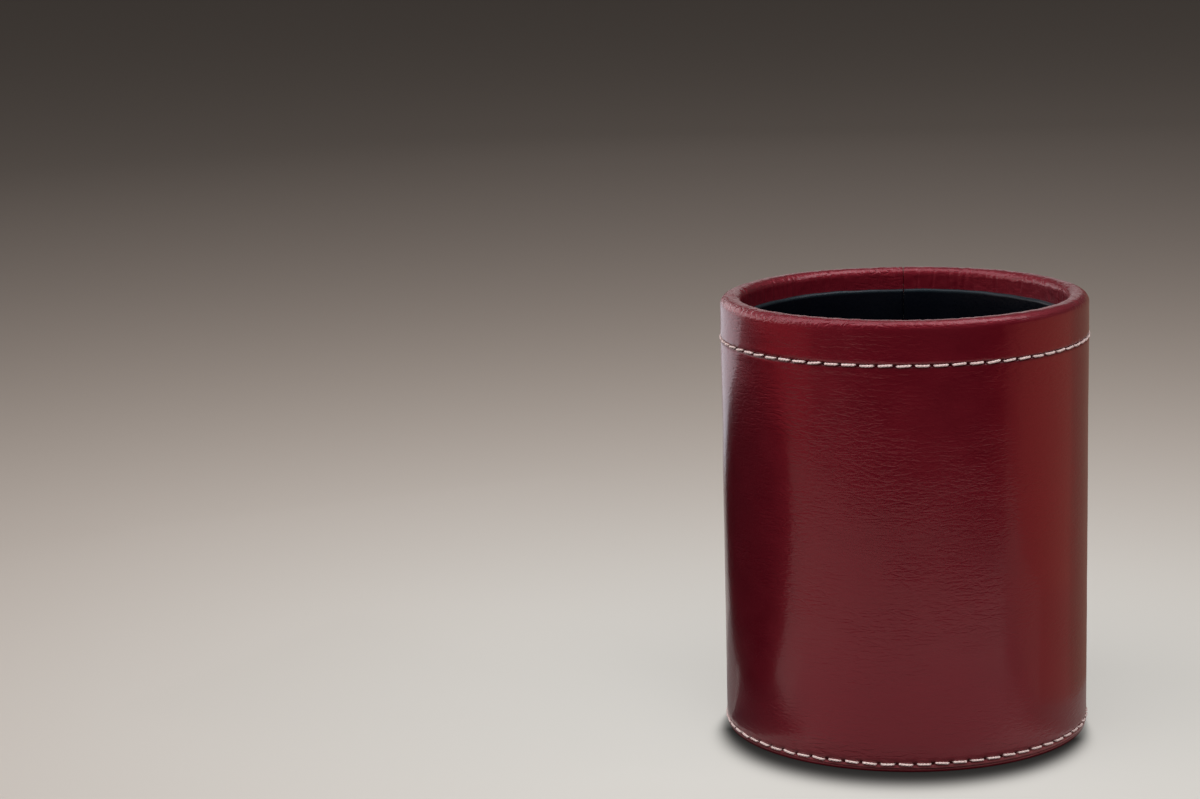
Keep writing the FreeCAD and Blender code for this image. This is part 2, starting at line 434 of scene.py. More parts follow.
LINING_DARK = rgb(0.0006, 0.0011, 0.0030)
LINING_LIT = rgb(0.0016, 0.0028, 0.0060)
# painted highlight along the lining's folded edge
LINING_EDGE_HIGHLIGHT = rgb(0.014, 0.026, 0.034)
LINING_EDGE = (1.0, 0.3)  # mm under its top, between which the painted highlight on its folded edge fades in


def lining_material(name):
    """Nearly black sheet with a fine grain, and a painted bluish highlight along its folded edge.
    """
    n = Nodes(name)
    grain = n.cells(n.solid(0.55), "SMOOTH_F1")
    cloud = n.noise(n.solid(7.0), detail=3.0)
    fine = n.noise(n.solid(0.2), detail=2.0)
    relief = n.math("ADD", n.math("MULTIPLY", grain, 0.02), n.math("MULTIPLY", cloud, 0.10))
    n.bump(n.math("ADD", relief, n.math("MULTIPLY", fine, 0.004)))
    colour = n.mix(cloud, LINING_DARK, LINING_LIT)
    # painted highlight along the folded edge
    edge_highlight = n.ramp(n.height(), *(mm(LINING_TOP - below) for below in LINING_EDGE), 0.0, 0.8)
    colour = n.mix(edge_highlight, colour, LINING_EDGE_HIGHLIGHT)
    rough = n.ramp(grain, 0.1, 0.7, 0.26, 0.36)
    return n.set(Base_Color=colour, Roughness=rough, IOR=1.5, Specular_IOR_Level=0.24)


def board_material(name, dark, pale):
    """Matt board with fibres and flecks."""
    n = Nodes(name)
    fibre = n.noise(n.solid(1.4), detail=6.0, roughness=0.7)
    fleck = n.cells(n.solid(0.9))
    n.bump(n.math("MULTIPLY", fibre, 0.05))
    colour = n.mix(n.ramp(fibre, 0.35, 0.65), dark, pale)
    colour = n.mix(n.ramp(fleck, 0.0, 0.12, 0.35, 0.0), colour, dark)
    return n.set(Base_Color=colour, Roughness=n.ramp(fibre, 0.3, 0.7, 0.82, 0.95))


def bobbin_material(name):
    n = Nodes(name)
    twist = n.noise(n.solid(0.35), detail=3.0)
    n.bump(n.math("MULTIPLY", twist, 0.05))
    colour = n.mix(n.ramp(twist, 0.3, 0.7), rgb(0.58, 0.47, 0.41), rgb(0.82, 0.72, 0.66))
    return n.set(Base_Color=colour, Roughness=0.7)


# ------------------------ the leather wrap
COLUMNS_PER_STITCH = 14
CROWDING = 0.06  # how much closer the columns stand near the needle holes
SEAM_COLUMN = 0.12  # mm from the seam's edge to the column beside it
SEAM_CLEAR = 0.05  # mm that other columns keep from that one


def wrap_columns():
    """Angles from seam edge to seam edge, closer together near the needle holes."""
    t = np.linspace(0, 1, COLUMNS_PER_STITCH, endpoint=False)
    eased = t - CROWDING * np.sin(FULL_TURN * t)
    angles = np.concatenate([(n + eased) * PITCH for n in range(STITCHES)])
    edge = SEAM_GAP / 2 / CUP_R
    first = [edge, edge + SEAM_COLUMN / CUP_R]
    last = [FULL_TURN - edge - SEAM_COLUMN / CUP_R, FULL_TURN - edge]
    clear = SEAM_CLEAR / CUP_R
    inner = angles[(angles > first[1] + clear) & (angles < last[0] - clear)]
    return np.concatenate([first, inner, last])


# The wall's rows of vertices: (height from the stitched row where a stretch ends, step), in mm
BOTTOM_ROW_STEPS = [(1.0, 0.17), (2.6, 0.4)]
TOP_ROW_STEPS = [(-2.6, 3.6), (-1.1, 0.4), (1.1, 0.17), (2.6, 0.4)]
RIM_STEP = 0.9  # from there up to the rim's rounding


def wall_heights():
    """Heights of the wall's rows, close together where the stitching is."""
    heights = []
    start = HEM_Z + HEM_ROUND
    stretches = [(ROWS["bottom"] + end, step) for end, step in BOTTOM_ROW_STEPS]
    stretches += [(ROWS["top"] + end, step) for end, step in TOP_ROW_STEPS]
    stretches += [(CUP_H - RIM_OUTER, RIM_STEP)]
    for end, step in stretches:
        heights += spaced(start, end, step)
        start = end
    return heights


# Steps of the wrap's profile: vertices in an arc, or mm between two
HEM_ARC = 4
RIM_ARC = 9
GLUED_ARC = 3
CREST_STEP = 0.35
INSIDE_STEP = 0.42
HIDDEN_STEP = 4.0
GLUED_STEP = 12.0
SEEN_DEPTH = 1.2  # how far the fine rows go on behind the lining's edge, in mm
HEM_LIP = 0.6  # where the hem's cut edge has its middle vertex
FACE_R = CUP_R - LEATHER  # where the leather's glued side is, outside and inside
BORE_R = FACE_R - CORE_WALL


def wrap_outside():
    """The leather's finished side as (r, z): hem, wall, rim, and down inside."""
    crest_r = MOUTH_R + RIM_INNER
    seen = LINING_TOP - SEEN_DEPTH
    end = CUP_H - TURN_IN
    points = [(FACE_R, HEM_Z), (CUP_R - LEATHER * HEM_LIP, HEM_Z)]
    points += arc(CUP_R - HEM_ROUND, HEM_Z + HEM_ROUND, HEM_ROUND, -90, 0, HEM_ARC)
    points += [(CUP_R, z) for z in wall_heights()]
    points += arc(CUP_R - RIM_OUTER, CUP_H - RIM_OUTER, RIM_OUTER, 0, 90, RIM_ARC)
    points += [(r, CUP_H) for r in spaced(CUP_R - RIM_OUTER, crest_r, CREST_STEP)]
    points += arc(crest_r, CUP_H - RIM_INNER, RIM_INNER, 90, 180, RIM_ARC)
    points += [(MOUTH_R, z) for z in spaced(CUP_H - RIM_INNER, seen, INSIDE_STEP)]
    points += [(MOUTH_R, z) for z in spaced(seen, end, HIDDEN_STEP)]
    return np.array(points + [(MOUTH_R, end)])


def wrap_inside():
    """The leather's glued side as (r, z), from the end of the turn-in back to the hem."""
    inner_arc, outer_arc = RIM_INNER - LEATHER, RIM_OUTER - LEATHER
    points = [(BORE_R, CUP_H - TURN_IN)]
    points += arc(BORE_R + RIM_INNER - LEATHER, CUP_H - RIM_INNER, inner_arc, 180, 90, GLUED_ARC)
    points += arc(FACE_R - RIM_OUTER + LEATHER, CUP_H - RIM_OUTER, outer_arc, 90, 0, GLUED_ARC)
    points += [(FACE_R, z) for z in spaced(CUP_H - RIM_OUTER, HEM_Z, GLUED_STEP)]
    return np.array(points)


def lengths_along(profile):
    steps = np.hypot(*np.diff(profile, axis=0).T)
    return np.concatenate([[0], np.cumsum(steps)])


def normals_of(profile):
    """Outward normals of a profile whose solid lies on its left."""
    tangent = np.gradient(profile, axis=0)
    tangent /= np.hypot(*tangent.T)[:, None]
    return np.stack([tangent[:, 1], -tangent[:, 0]], -1)


# What each pleat in the turned-in leather is drawn from, in mm; its slant is in mm for each mm
PLEAT_WIDTH = (0.24, 0.55)
PLEAT_DEPTH = (0.04, 0.17)
PLEAT_SHARE = (0.5, 1.0)
PLEAT_START = (-1.2, 2.4)  # from the rim's crest, inwards
PLEAT_SLANT = (-0.16, 0.16)
PLEAT_GROWTH = (1.6, 3.4)
PLEAT_SPACING = (1.1, 3.6)
FIRST_PLEAT = 0.9
LAST_PLEAT = 0.6  # what the last one keeps from the seam
PLEAT_REACH = 8  # widths beyond which a pleat is flat
PLEAT_LIP = 0.45  # height of the lips beside a pleat, as a share of its depth


def pleats(angle, along, crest):
    """Irregular pinched creases where the leather turns in over the rim: depth in mm, negative
    inwards."""
    rng = np.random.default_rng(SEED)
    depth = np.zeros(angle.shape)
    centre = FIRST_PLEAT
    while centre < FULL_TURN * MOUTH_R - LAST_PLEAT:
        width = rng.uniform(*PLEAT_WIDTH)
        deep = rng.uniform(*PLEAT_DEPTH) * rng.uniform(*PLEAT_SHARE)
        start = crest + rng.uniform(*PLEAT_START)
        slant = rng.uniform(*PLEAT_SLANT)
        offset = angle * MOUTH_R - centre - slant * (along - crest)
        near = np.abs(offset) < PLEAT_REACH * width
        growing = smoothstep(along[near], start, start + rng.uniform(*PLEAT_GROWTH))
        lips = bell(np.abs(offset[near]) - 2.2 * width, 1.5 * width)
        depth[near] += deep * growing * (-bell(offset[near], width) + PLEAT_LIP * lips)
        centre += rng.uniform(*PLEAT_SPACING)
    return depth


# What a row of stitches presses into the leather, in mm
GROOVE_DEPTH = 0.27
GROOVE_WIDTH = 0.40
LIP_HEIGHT = 0.035
LIP_WIDTH = 0.60
LIP_AWAY = 1.25  # from the row to the lip on either side of the groove
LIP_BREAK = (0.6, 0.9)  # share of the lip lost beside a hole, and over what width
PULL_DEPTH = 0.05  # where the thread pulls the leather down round a hole
PULL_ACROSS = 0.80
PULL_UP = 0.75
HOLE_DEPTH = 0.34
HOLE_ACROSS = 0.50
HOLE_UP = 0.36
HOLE_EDGE = (0.45, 1.15)  # shares of that size between which a hole's side rises
HOLE_DRIFT = 0.10  # how far a hole may lie from its place round the cup
HOLE_RISE = 0.05  # and up or down
HOLE_SHARE = (0.75, 1.15)
# how far under the row the painted shade along the groove lies, and how wide it is
GROOVE_SHADE_DROP = 0.08
GROOVE_SHADE_WIDTH = 0.66


def stitch_marks(angle, z, row, seed):
    """(height, pit) that one row presses into the leather: a shallow groove between two lips, and a
    hole between every two stitches. pit is the painted shade in the holes and along the groove: 1
    where it is darkest."""
    rng = np.random.default_rng(seed)
    phase = angle / PITCH
    hole = np.round(phase)
    number = hole.astype(int)
    drift = rng.uniform(-HOLE_DRIFT, HOLE_DRIFT, STITCHES + 1)[number]
    rise = rng.uniform(-HOLE_RISE, HOLE_RISE, STITCHES + 1)[number]
    deep = rng.uniform(*HOLE_SHARE, STITCHES + 1)[number]
    from_hole = (phase - hole) * PITCH * CUP_R - drift
    from_row = z - row_height(row, angle)
    groove = -GROOVE_DEPTH * bell(from_row, GROOVE_WIDTH)
    lost, width = LIP_BREAK
    lip = LIP_HEIGHT * bell(np.abs(from_row) - LIP_AWAY, LIP_WIDTH)
    groove += lip * (1 - lost * bell(from_hole, width))
    pull = -PULL_DEPTH * bell(from_hole, PULL_ACROSS) * bell(from_row - rise, PULL_UP)
    well = np.hypot(from_hole / HOLE_ACROSS, (from_row - rise) / HOLE_UP)
    pit = deep * (1 - smoothstep(well, *HOLE_EDGE))
    # painted shade along the groove
    groove_shade = ROW_GROOVE_SHADE[row] * np.exp(-((from_row + GROOVE_SHADE_DROP) / GROOVE_SHADE_WIDTH) ** 4)
    return groove + pull - HOLE_DEPTH * pit, np.maximum(pit, groove_shade)


MARKS_SEED = SEED + 20
# The leather's own waves: (height in mm, wavelength in mm, waves in the sum, stretch round the cup)
WALL_WAVE = (0.05, 26.0, 18, 1.6)
FINE_WAVE = (0.012, 5.0, 20, 2.2)
RIM_WAVE = (0.024, 3.2, 28, 1.2)
RIM_RIPPLE = (0.012, 1.5, 28, 1.0)
WAVES_START = (4.0, 12.0)  # mm along the profile, in which the wall's waves fade in
RIM_START = (-4.5, -1.0)  # mm along from the crest, in which the rim's do
SEAM_DIP = 0.16
SEAM_DIP_WIDTH = 0.28


def leather_wave(kind, angle, along, seed):
    height, length, count, stretch = kind
    return height * waves(angle, along, length, count, seed, stretch=stretch)


def leather_height(angle, along, r, z, crest):
    """(height in mm off the plain profile, pit, share of rim) of the wrap's finished side. crest is
    how far along the profile the rim's crest is."""
    on_wall = (r > CUP_R - 0.01) * 1.0
    on_rim = smoothstep(along, *(crest + before for before in RIM_START))
    height = leather_wave(WALL_WAVE, angle, along, SEED + 1) * smoothstep(along, *WAVES_START)
    height += leather_wave(FINE_WAVE, angle, along, SEED + 2)
    height += leather_wave(RIM_WAVE, angle, along, SEED + 3) * on_rim
    height += leather_wave(RIM_RIPPLE, angle, along, SEED + 4) * on_rim
    height += pleats(angle, along, crest)
    pits = np.zeros(angle.shape)
    for number, row in enumerate(ROWS):
        press, pit = stitch_marks(angle, z, row, MARKS_SEED + number)
        height += press * on_wall
        pits = np.maximum(pits, pit * on_wall)
    from_seam = np.minimum(angle, FULL_TURN - angle) * CUP_R
    height -= SEAM_DIP * bell(from_seam, SEAM_DIP_WIDTH)
    return height, pits, on_rim


GLUED_COLUMNS = 8  # columns of the finished side for each of the glued side
GLUED_MAP_STEP = 1.1  # mm of its map between two rows
CREST_MIDDLE = 0.35  # mm along, past the crest's first vertex


def wrap_grids(shape):
    """Adds the wrap's two sides, and returns their vertices and which columns they share."""
    columns = wrap_columns()
    profile = wrap_outside()
    normal = normals_of(profile)
    along_row = lengths_along(profile)
    crest = along_row[np.argmax(profile[:, 1] > CUP_H - 1e-6)] + CREST_MIDDLE
    angle, along = np.meshgrid(columns, along_row, indexing="ij")
    r = np.broadcast_to(profile[:, 0], angle.shape)
    z = np.broadcast_to(profile[:, 1], angle.shape)
    height, pits, on_rim = leather_height(angle, along, r, z, crest)
    held = np.ones(len(along_row))
    held[:2] = 0.0  # the cut edges stay on the plain profile
    held[-1] = 0.0
    height = height * held
    x, y, up = point(angle, r + normal[:, 0] * height, z + normal[:, 1] * height)
    outer = shape.add_grid(x, y, up, angle * CUP_R, along, pit=pits, rim=on_rim)
    shape.add_quads(outer)

    inside = wrap_inside()
    shared = list(range(0, len(columns) - 1, GLUED_COLUMNS)) + [len(columns) - 1]
    angle, row = np.meshgrid(columns[shared], np.arange(len(inside)), indexing="ij")
    x, y, up = point(angle, inside[row, 0], inside[row, 1])
    inner = shape.add_grid(x, y, up, angle * CUP_R, along_row[-1] + GLUED_MAP_STEP * (row + 1.0))
    shape.add_quads(inner)
    return outer, inner, shared


def wrap_piece(material):
    shape = Shape()
    outer, inner, shared = wrap_grids(shape)
    for k in range(len(shared) - 1):
        fine = range(shared[k], shared[k + 1] + 1)
        turned_in = [inner[k, 0], inner[k + 1, 0]] + [outer[j, -1] for j in reversed(fine)]
        hem = [outer[j, 0] for j in fine] + [inner[k + 1, -1], inner[k, -1]]
        shape.add_face(turned_in, flip=True)
        shape.add_face(hem, flip=True)
    for end in (0, -1):
        shape.add_face(list(outer[end]) + list(inner[end]), flip=end != 0)
    return shape.make("leather_wrap_finished", material)


# ------------------------ the stitches
PLY = 0.60  # radius of one of the three plies, as a share of the thread's
THREAD_SIDES = 24
LAY = 2.3  # mm in which the plies go once round each other
THREAD_SHARE = (0.93, 1.06)
TAPER = 0.35  # share of its radius that a stitch loses at its ends
TAPER_RANGE = (1.15, 1.65)  # mm from its middle, in which it does
BURIED = (1.20, 1.60)  # mm from its middle, in which the thread darkens with dirt and painted shade
DEEPEST = -1.0  # mm, as far into the leather as a stitch's mesh goes
MAP_STRIDE = 2.25  # mm that a stitch lies along its map, for each mm round the cup

# What each stitch's centreline is drawn from, in mm and degrees
STITCH_POINTS = 27
END_CROWDING = 1.25  # how much closer its points stand near its ends
HOLE_INSET = (0.26, 0.38)  # how far it ends before the hole's middle
LEAN = (2.4, 2.0)  # degrees: mean and spread
SHIFT = 0.06  # up or down
BOW = 0.05
LIFT = 0.03  # outwards
CROWN = 0.03  # how much its middle stands over its ends
SINK = 0.90  # how deep its ends go
SINK_START = 0.50  # how far before its end that starts


def thread_radius(turn):
    """Radius of three plies laid together, in the direction turn, for a thread of radius 1."""
    out = 1 - PLY
    lobe = np.mod(turn + math.pi / 3, 2 * math.pi / 3) - math.pi / 3
    return out * np.cos(lobe) + np.sqrt(PLY ** 2 - (out * np.sin(lobe)) ** 2)


def stitch_line(rng):
    """One stitch in the flat: (round the cup, up, outwards) of its centreline in mm, from hole to
    hole."""
    reach = PITCH * CUP_R / 2 - rng.uniform(*HOLE_INSET)
    t = np.linspace(-1, 1, STITCH_POINTS)
    t = np.sign(t) * (1 - (1 - np.abs(t)) ** END_CROWDING)
    across = t * reach
    lean = math.radians(rng.normal(*LEAN))
    shift = rng.uniform(-SHIFT, SHIFT)
    bow = rng.uniform(-BOW, BOW)
    up = across * math.tan(lean) + shift + bow * (1 - t ** 2)
    sink = smoothstep(np.abs(across), reach - SINK_START, reach + 0.02) ** 1.2
    out = THREAD_RISE + rng.uniform(-LIFT, LIFT) + CROWN * (1 - t ** 2) - SINK * sink
    return np.stack([across, up, out], -1)


def unit(vectors):
    return vectors / np.linalg.norm(vectors, axis=1)[:, None]


def add_stitch(shape, centre, row, rng, lean):
    """Adds one twisted stitch at an angle round the cup. lean is -1 to lean the other way."""
    line = stitch_line(rng)
    line[:, 1] *= lean
    tangent = unit(np.gradient(line, axis=0))
    side = unit(np.cross(tangent, [0.0, 1.0, 0.0]))
    over = np.cross(side, tangent)
    steps = np.linalg.norm(np.diff(line, axis=0), axis=1)
    length = np.concatenate([[0], np.cumsum(steps)])
    twist = (rng.uniform(0, FULL_TURN) + FULL_TURN * length / LAY)[:, None]
    radius = THREAD / 2 * rng.uniform(*THREAD_SHARE)
    from_middle = np.abs(line[:, 0])[:, None]
    tight = 1 - TAPER * smoothstep(from_middle, *TAPER_RANGE)
    turn = np.linspace(0, FULL_TURN, THREAD_SIDES, endpoint=False)[None, :]
    reach = radius * tight * thread_radius(turn - twist)
    ring = (line[:, None, :] + reach[..., None] * (np.cos(turn)[..., None] * side[:, None, :]
                                                   + np.sin(turn)[..., None] * over[:, None, :]))
    ring[..., 2] = np.maximum(ring[..., 2], DEEPEST)
    angle = centre + ring[..., 0] / CUP_R
    x, y, z = point(angle, CUP_R + ring[..., 2], row_height(row, angle) + ring[..., 1])
    u = np.broadcast_to(length[:, None] + MAP_STRIDE * centre * CUP_R, x.shape)
    v = (turn - twist) * THREAD / 2
    end = np.broadcast_to(smoothstep(from_middle, *BURIED), x.shape)
    numbers = shape.add_grid(x, y, z, u, v, end=end)
    shape.add_quads(numbers, close_rows=True)
    shape.add_face(numbers[0])
    shape.add_face(numbers[-1], flip=True)


def stitch_piece(name, node, row, lean, seed, material):
    rng = np.random.default_rng(seed)
    shape = Shape()
    for n in range(STITCHES):
        add_stitch(shape, (n + 0.5) * PITCH, row, rng, lean)
    piece = shape.make(name, material)
    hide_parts(node)
    return piece


# ------------------------ lathe pieces: lining, floor, base
def ring_piece(name, profile, material, columns=256, gap=0.0, wobble=None, disc=False):
    """A closed profile turned about the axis. A gap leaves it open at the seam, with its ends
    closed. A disc's profile runs from its underside round to its top, and a face closes each."""
    profile = np.array(profile)
    if gap:
        edge = gap / 2 / profile[:, 0].max()
        angles = np.linspace(edge, FULL_TURN - edge, columns)
    else:
        angles = np.linspace(0, FULL_TURN, columns, endpoint=False)
    angle, row = np.meshgrid(angles, np.arange(len(profile)), indexing="ij")
    r, z = profile[row, 0], profile[row, 1]
    if wobble:
        r, z = wobble(angle, r, z)
    along = lengths_along(profile)
    shape = Shape()
    x, y, up = point(angle, r, z)
    numbers = shape.add_grid(x, y, up, angle * CUP_R, along[row])
    shape.add_quads(numbers, close_columns=not gap, close_rows=not disc)
    if disc:
        shape.add_face(numbers[:, 0], flip=True)
        shape.add_face(numbers[:, -1])
    if gap:
        shape.add_face(numbers[0])
        shape.add_face(numbers[-1], flip=True)
    return shape.make(name, material)


EDGE_WAVE = (0.10, 30.0, 7)  # height, wavelength in mm, waves in the sum
EDGE_RIPPLE = (0.05, 8.0, 7)
EDGE_REACH = 12  # mm under the lining's edge, in which its waves fade in
EDGE_DROP = 0.12  # keeps the edge's waves under its plain height
WALL_RIPPLE = (0.07, 22.0, 14)
WALL_REACH = 20  # mm over the floor, in which the wall's ripple fades in


def lining_wave(kind, angle, z, seed):
    height, length, count = kind
    return height * waves(angle, z, length, count, seed)


def lining_wobble(angle, r, z):
    """The folded edge runs a little up and down and the wall is not quite true."""
    near_top = smoothstep(z, LINING_TOP - EDGE_REACH, LINING_TOP)
    up = lining_wave(EDGE_WAVE, angle, 0 * z, SEED + 40)
    up = up + lining_wave(EDGE_RIPPLE, angle, 0 * z, SEED + 41)
    inward = (r < LINING_R - LINING_WALL / 2) * 1.0
    ripple = lining_wave(WALL_RIPPLE, angle, z, SEED + 42) * inward
    ripple = ripple * smoothstep(z, FLOOR_TOP, FLOOR_TOP + WALL_REACH)
    return r - np.abs(ripple) * 0.8, z + near_top * (up - EDGE_DROP)


def lining_piece(material):
    inner = LINING_R - LINING_WALL
    fold = LINING_WALL / 2
    points = [(LINING_R, z) for z in spaced(LINING_FOOT, LINING_TOP - fold, 6.0)]
    points += arc(LINING_R - fold, LINING_TOP - fold, fold, 0, 180, 12)
    points += [(inner, z) for z in spaced(LINING_TOP - fold, LINING_FOOT, 3.0)]
    points += [(inner, LINING_FOOT)]
    piece = ring_piece("lining_sleeve", points, material, columns=360, gap=LINING_GAP,
                       wobble=lining_wobble)
    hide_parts("lining_cover")
    return piece


FLOOR_CROWN = 0.25  # how far the floor disc's edge lies under its middle


def floor_wobble(angle, r, z):
    middle = 1 - (r / FLOOR_R) ** 2
    top = z > FLOOR_TOP - 0.5
    return r, z + top * (FLOOR_CROWN * middle - FLOOR_CROWN)


def floor_piece(material):
    shoulder = FLOOR_R - FLOOR_EDGE
    points = [(FLOOR_R - DISC_BORDER, FLOOR_FOOT), (shoulder, FLOOR_FOOT)]
    points += [(FLOOR_R, FLOOR_FOOT + FLOOR_EDGE * 0.5)]
    points += arc(shoulder, FLOOR_TOP - FLOOR_EDGE, FLOOR_EDGE, 0, 90, 6)
    points += [(r, FLOOR_TOP) for r in spaced(shoulder, DISC_MIDDLE_R, 2.4)]
    points += [(DISC_MIDDLE_R, FLOOR_TOP)]
    piece = ring_piece("floor_disc", points, material, columns=192, wobble=floor_wobble, disc=True)
    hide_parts("floor_cover")
    return piece


def cover_piece(material):
    shoulder = COVER_R - COVER_EDGE
    points = [(r, 0.0) for r in spaced(DISC_MIDDLE_R, shoulder, 2.6)]
    points += arc(shoulder, COVER_EDGE, COVER_EDGE, -90, 0, 5)
    points += arc(shoulder, COVER_TOP - COVER_EDGE, COVER_EDGE, 0, 90, 5)
    points += [(shoulder, COVER_TOP), (COVER_R - DISC_BORDER, COVER_TOP)]
    piece = ring_piece("base_cover_finished", points, material, disc=True)
    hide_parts("base_cover")
    return piece


# ------------------------ stage, light and camera
NO_LIGHT = rgb(0.0, 0.0, 0.0)
FLOOR_SIDE = 6.0  # half of the floor's side, in metres
FLOOR_NEAR = rgb(0.36, 0.355, 0.338)
FLOOR_FAR = rgb(0.36, 0.300, 0.261)
FADE_LENGTH = 0.40  # metres at which the floor has lost half of its light
FADE = (0.65, 0.15)  # its colour's share: what fades, and what stays
GLOW = (1.13, 0.083)  # its own glow, likewise

SHADE_AXIS = (-0.07, -0.9976, 0.0)  # where the shade under the cup's edge reaches furthest
SHADE_REACH = (10.6, 0.5)  # mm: how far it reaches along the axis, and everywhere
SHADE_NARROWING = 1.3
SHADE_EDGE = (2.2, 1.6, 3.3)  # how sharp its edge is: slope along the axis, base, most
SHADE_AMOUNT = (2.0, 0.30, 0.965)  # how dark it is, likewise


def under_edge(n, place, away):
    """How much of the light above reaches the floor near the cup: 1 in the open, less close to its
    edge, and least in the direction of SHADE_AXIS."""
    gap = n.math("MAXIMUM", n.math("SUBTRACT", away, mm(COVER_R)), 0.0)
    ahead = n.math("DIVIDE", n.vector("DOT_PRODUCT", place, SHADE_AXIS, "Value"), away)
    facing = n.math("MAXIMUM", ahead, 0.0)
    furthest, least = SHADE_REACH
    reach = n.math("MULTIPLY", n.math("POWER", facing, SHADE_NARROWING), mm(furthest))
    reach = n.math("ADD", reach, mm(least))
    slope, base, most = SHADE_EDGE
    power = n.math("MINIMUM", n.math("ADD", n.math("MULTIPLY", facing, slope), base), most)
    shade = n.math("POWER", n.math("DIVIDE", gap, reach), power)
    shade = n.math("EXPONENT", n.math("MULTIPLY", shade, -1.0))
    slope, base, most = SHADE_AMOUNT
    amount = n.math("MAXIMUM", n.math("ADD", n.math("MULTIPLY", ahead, slope), base), 0.0)
    amount = n.math("MINIMUM", amount, most)
    return n.math("SUBTRACT", 1.0, n.math("MULTIPLY", shade, amount))


def floor_material():
    """Pale, darker with distance and under the cup's edge. Its own glow is only for eyes and
    reflections, so that it doesn't light the cup."""
    n = Nodes("studio_floor")
    place = n.place()
    away = n.node("ShaderNodeVectorMath", {0: place}, operation="LENGTH").outputs["Value"]
    steps = n.math("DIVIDE", away, FADE_LENGTH)
    near = n.math("DIVIDE", 1.0, n.math("ADD", n.math("MULTIPLY", steps, steps), 1.0))
    open_sky = under_edge(n, place, away)

    tint = n.mix(n.math("MULTIPLY", near, near), FLOOR_FAR, FLOOR_NEAR)
    fading = n.math("ADD", n.math("MULTIPLY", near, FADE[0]), FADE[1])
    colour = n.mix(n.math("MULTIPLY", fading, open_sky), NO_LIGHT, tint)
    path = n.node("ShaderNodeLightPath").outputs
    seen = n.math("ADD", path["Is Camera Ray"], path["Is Glossy Ray"])
    seen = n.math("ADD", seen, path["Is Transmission Ray"], clamp=True)
    glow = n.math("ADD", n.math("MULTIPLY", near, GLOW[0]), GLOW[1])
    glow = n.math("MULTIPLY", n.math("MULTIPLY", glow, open_sky), seen)
    return n.set(Base_Color=colour, Roughness=0.9, Specular_IOR_Level=0.1,
                 Emission_Color=tint, Emission_Strength=glow)


def stage_shape(name, corners, faces, material, only_in_gloss=False):
    mesh = bpy.data.meshes.new(name)
    mesh.from_pydata(corners, [], faces)
    mesh.materials.append(material)
    shape = bpy.data.objects.new(name, mesh)
    if only_in_gloss:
        shape.visible_camera = False
        shape.visible_shadow = False
        shape.visible_diffuse = False
        shape.visible_transmission = False
    bpy.context.scene.collection.objects.link(shape)


def stage_floor():
    """The table top."""
    side = FLOOR_SIDE
    corners = [(-side, -side, 0), (side, -side, 0), (side, side, 0), (-side, side, 0)]
    stage_shape("studio_floor", corners, [(0, 1, 2, 3)], floor_material())


LAMP_AIM = (0, 0, 0.05)
LAMP_TINT = (1.0, 0.98, 0.96)
# Area lamps: name, place and size in metres, power in watts, and whether they show in reflections
LAMPS = [
    ("overhead", (-0.10, -0.33, 0.80), (1.2, 0.6), 6.8, False),
    ("front_left", (-0.75, -0.75, 0.35), (0.5, 0.4), 0.8, True),
    ("front_right", (0.35, -0.90, 0.35), (0.5, 0.4), 0.75, True),
    ("side_left", (-0.80, -0.10, 0.30), (0.5, 0.4), 0.7, True),
    ("side_right", (0.85, -0.15, 0.45), (0.4, 0.6), 1.6, False),
    ("back_left", (-0.60, 0.90, 0.55), (1.2, 0.6), 1.0, False),
]


def softbox(name, place, size, power, reflected):
    light = bpy.data.lights.new(name, "AREA")
    light.shape = "RECTANGLE"
    light.size, light.size_y = size
    light.energy = power
    light.color = LAMP_TINT
    lamp = bpy.data.objects.new(name, light)
    lamp.location = place
    lamp.visible_glossy = reflected
    lamp.rotation_euler = (Vector(LAMP_AIM) - Vector(place)).to_track_quat("-Z", "Y").to_euler()
    bpy.context.scene.collection.objects.link(lamp)


def glossy_shape(name, corners, faces, colour):
    """A shape that shows only in reflections, always in this colour, as something that stands round
    the set would."""
    n = Nodes(name)
    material = n.set(Base_Color=NO_LIGHT, Roughness=1.0, Specular_IOR_Level=0.0,
                     Emission_Color=colour, Emission_Strength=1.0)
    stage_shape(name, corners, faces, material, only_in_gloss=True)


def glossy_fence(name, foot, low, high, colour):
    """An upright band between two heights, above a line of points on the table."""
    corners = [(x, y, z) for x, y in foot for z in (low, high)]
    faces = [(2 * k, 2 * k + 2, 2 * k + 3, 2 * k + 1) for k in range(len(foot) - 1)]
    glossy_shape(name, corners, faces, colour)


def glossy_floor(name, outline, colour):
    """A patch that lies on the table."""
    corners = [(x, y, PATCH_Z) for x, y in outline]
    glossy_shape(name, corners, [tuple(range(len(outline)))], colour)


def glossy_cup(name, mouth, heading, colour):
    """The cup that lies beside it: the middle of its mouth, and which way that looks in degrees."""
    turn = math.radians(heading)
    out = Vector((math.cos(turn), math.sin(turn), 0))
    across = Vector((-out.y, out.x, 0))
    corners = []
    for depth in (0.0, mm(CUP_H)):
        for k in range(CUP_SIDES):
            t = FULL_TURN * k / CUP_SIDES
            rim = across * math.cos(t) + Vector((0, 0, 1)) * math.sin(t)
            corners.append(Vector(mouth) - out * depth + rim * mm(CUP_R))
    faces = [(k, (k + 1) % CUP_SIDES, CUP_SIDES + (k + 1) % CUP_SIDES, CUP_SIDES + k)
             for k in range(CUP_SIDES)]
    faces += [tuple(range(CUP_SIDES)), tuple(range(2 * CUP_SIDES - 1, CUP_SIDES - 1, -1))]
    glossy_shape(name, corners, faces, colour)


